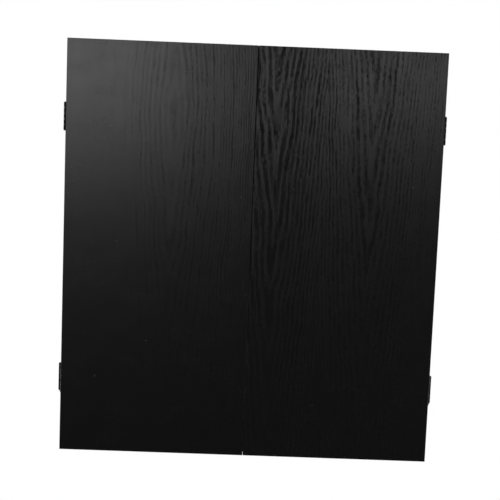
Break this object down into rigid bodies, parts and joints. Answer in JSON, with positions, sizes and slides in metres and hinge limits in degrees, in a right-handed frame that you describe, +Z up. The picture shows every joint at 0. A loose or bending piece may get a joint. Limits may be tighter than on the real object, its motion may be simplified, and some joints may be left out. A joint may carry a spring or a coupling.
{
  "type": "dart board cabinet",
  "caption": "Black wood-grain wall cabinet for a dart board: a shallow box closed by flat tray doors on butt hinges, with scoreboards, dart racks and magnetic catches inside.",
  "frame": {"origin": "centre of the four wall screw holes, on the plane of the wall behind the cabinet", "axes": "+X to the right as seen from the front, +Y into the wall, +Z up; the doors face -Y"},
  "size_m": [0.5514, 0.0832, 0.597],
  "materials": {
    "black_foil": "satin wood-grain foil on fibreboard",
    "black_hardboard": "matt black painted hardboard",
    "bare_mdf": "bare fibreboard",
    "beech": "bare beech",
    "black_steel": "black painted steel",
    "zinc_steel": "bright zinc plated",
    "black_plastic": "moulded, fine texture",
    "ferrite": "sintered, matt",
    "black_rubber": "matt",
    "white_board": "glossy dry-wipe laminate"
  },
  "bodies": {
    "box": {"left_side": "black_foil", "right_side": "black_foil", "top_panel": "black_foil", "bottom_panel": "black_foil", "back_panel": "black_hardboard", "upper_hanging_rail": "bare_mdf", "lower_hanging_rail": "bare_mdf", "bracket_batten": "bare_mdf", "box_dowels": "beech", "back_panel_screws": "black_steel", "board_bracket": "black_steel", "board_bracket_screws": "zinc_steel", "upper_catch_case": "black_plastic", "lower_catch_case": "black_plastic", "catch_magnets": "ferrite", "catch_pole_plates": "zinc_steel", "catch_screws": "zinc_steel", "door_bumpers": "black_rubber", "box_hinge_screws": "black_steel", "left_upper_box_leaf": "black_steel", "left_lower_box_leaf": "black_steel", "right_upper_box_leaf": "black_steel", "right_lower_box_leaf": "black_steel", "left_upper_hinge_pin": "black_steel", "left_lower_hinge_pin": "black_steel", "right_upper_hinge_pin": "black_steel", "right_lower_hinge_pin": "black_steel"},
    "left_door": {"left_door_panel": "black_foil", "left_hinge_stile": "black_foil", "left_meeting_stile": "black_foil", "left_top_rail": "black_foil", "left_bottom_rail": "black_foil", "left_door_dowels": "beech", "left_scoreboard": "white_board", "left_dart_rack": "black_plastic", "left_dart_rack_screws": "zinc_steel", "left_strike_plates": "zinc_steel", "left_strike_screws": "zinc_steel", "left_upper_door_leaf": "black_steel", "left_lower_door_leaf": "black_steel", "left_door_hinge_screws": "black_steel"},
    "right_door": {"right_door_panel": "black_foil", "right_hinge_stile": "black_foil", "right_meeting_stile": "black_foil", "right_top_rail": "black_foil", "right_bottom_rail": "black_foil", "right_door_dowels": "beech", "right_scoreboard": "white_board", "right_dart_rack": "black_plastic", "right_dart_rack_screws": "zinc_steel", "right_strike_plates": "zinc_steel", "right_strike_screws": "zinc_steel", "right_upper_door_leaf": "black_steel", "right_lower_door_leaf": "black_steel", "right_door_hinge_screws": "black_steel"}
  },
  "joints": [
    {"name": "left_door_hinge", "type": "hinge", "parent": "box", "child": "left_door", "pos_m": [-0.273, -0.0646, 0], "axis": [0, 0, -1], "range_deg": [0, 180]},
    {"name": "right_door_hinge", "type": "hinge", "parent": "box", "child": "right_door", "pos_m": [0.273, -0.0646, 0], "axis": [0, 0, 1], "range_deg": [0, 180]}
  ]
}
